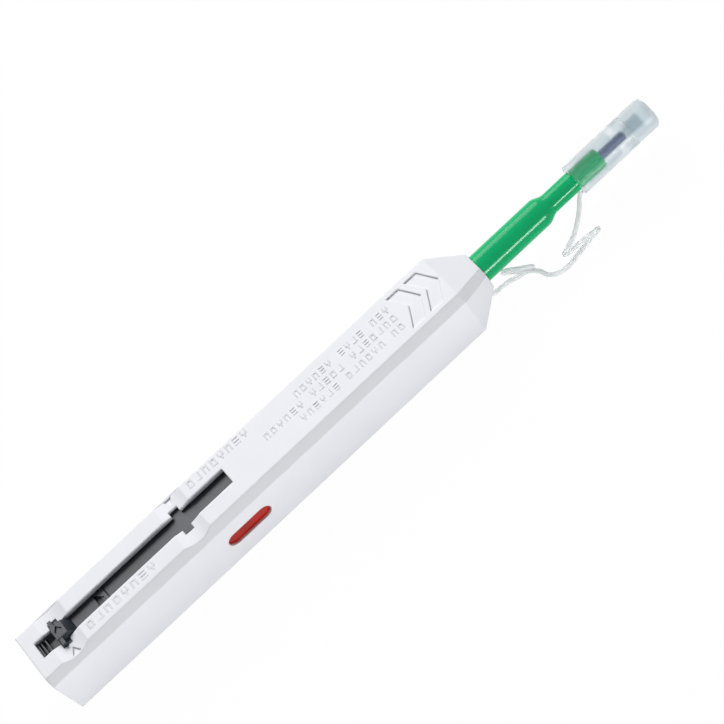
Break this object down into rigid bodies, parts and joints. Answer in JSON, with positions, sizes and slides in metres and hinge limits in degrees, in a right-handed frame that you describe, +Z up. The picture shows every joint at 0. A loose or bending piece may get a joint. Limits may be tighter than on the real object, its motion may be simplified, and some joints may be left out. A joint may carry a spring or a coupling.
{
  "type": "fibre connector cleaning pen",
  "caption": "Push-type cleaning pen for fibre optic connector end faces, with a latch to extend the nozzle, thread reels inside, and a tethered guide cap with a lid.",
  "frame": {"origin": "middle of the lower face on which the pen lies, half way between the rear end of the housing and the front of the cap", "axes": "+X along the pen to the nozzle, +Z up to the face with the slot, +Y to the side opposite the window"},
  "size_m": [0.2014, 0.0213, 0.0206],
  "materials": {
    "housing": "satin moulded plastic",
    "strap": "natural translucent soft plastic",
    "black_plastic": "satin black moulded plastic",
    "frame_plastic": "natural moulded plastic",
    "steel": "bright steel",
    "green_plastic": "glossy green moulded plastic",
    "window_plastic": "clear red moulded plastic",
    "thread": "fine woven cleaning thread",
    "cap_plastic": "frosted clear moulded plastic"
  },
  "bodies": {
    "housing": {"main_shell": "housing", "side_cover": "housing", "window_lens": "window_plastic", "strap": "strap"},
    "slider": {"slider": "black_plastic", "hinge_pin": "steel", "cam_pin": "steel", "button_spring": "steel", "return_spring": "steel"},
    "button": {"latch_button": "black_plastic"},
    "carriage": {"reel_frame": "frame_plastic", "brake_washer": "steel", "nozzle": "green_plastic", "tip_tube": "steel", "cleaning_thread": "thread"},
    "takeup": {"takeup_reel": "frame_plastic", "takeup_pack": "thread", "feed_pinion": "frame_plastic"},
    "supply": {"supply_reel": "frame_plastic", "supply_pack": "thread"},
    "head": {"drive_shaft": "steel", "cam_sleeve": "frame_plastic", "cleaning_head": "frame_plastic"},
    "cap": {"guide_cap": "cap_plastic"},
    "lid": {"cap_lid": "cap_plastic"}
  },
  "joints": [
    {"name": "extend", "type": "slide", "parent": "housing", "child": "slider", "axis": [1, 0, 0], "range_m": [0, 0.04], "deforming": ["latch_button", "strap"]},
    {"name": "button_press", "type": "hinge", "parent": "slider", "child": "button", "pos_m": [-0.07725, 0, 0.0165], "axis": [0, -1, 0], "range_deg": [0, 10.5], "stiffness_Nm_per_rad": 0.3, "springref_deg": -2.86, "deforming": ["button_spring"]},
    {"name": "clean_stroke", "type": "slide", "parent": "slider", "child": "carriage", "axis": [-1, 0, 0], "range_m": [0, 0.008], "stiffness_N_per_m": 600, "springref_m": -0.004, "deforming": ["return_spring", "strap"]},
    {"name": "takeup_spin", "type": "hinge", "parent": "carriage", "child": "takeup", "pos_m": [-0.04015, 0, 0.0091], "axis": [0, 1, 0], "range_deg": [0, 115]},
    {"name": "supply_spin", "type": "hinge", "parent": "carriage", "child": "supply", "pos_m": [-0.05335, 0, 0.0091], "axis": [0, 1, 0], "range_deg": [0, 72]},
    {"name": "head_spin", "type": "hinge", "parent": "carriage", "child": "head", "pos_m": [-0.00075, 0, 0.0098], "axis": [-1, 0, 0], "range_deg": [0, 181]},
    {"name": "cap_pull", "type": "slide", "parent": "carriage", "child": "cap", "axis": [1, 0, 0], "range_m": [0, 0.025], "deforming": ["strap"]},
    {"name": "lid_open", "type": "hinge", "parent": "cap", "child": "lid", "pos_m": [0.0932, 0.00261, 0.00577], "axis": [0, 0.8387, 0.5446], "range_deg": [0, 135]}
  ],
  "couplings": [
    {"joint": "takeup_spin", "follows": "clean_stroke", "rad_per_m": 250},
    {"joint": "supply_spin", "follows": "clean_stroke", "rad_per_m": 154.76},
    {"joint": "head_spin", "follows": "clean_stroke", "rad_per_m": 392.7}
  ]
}
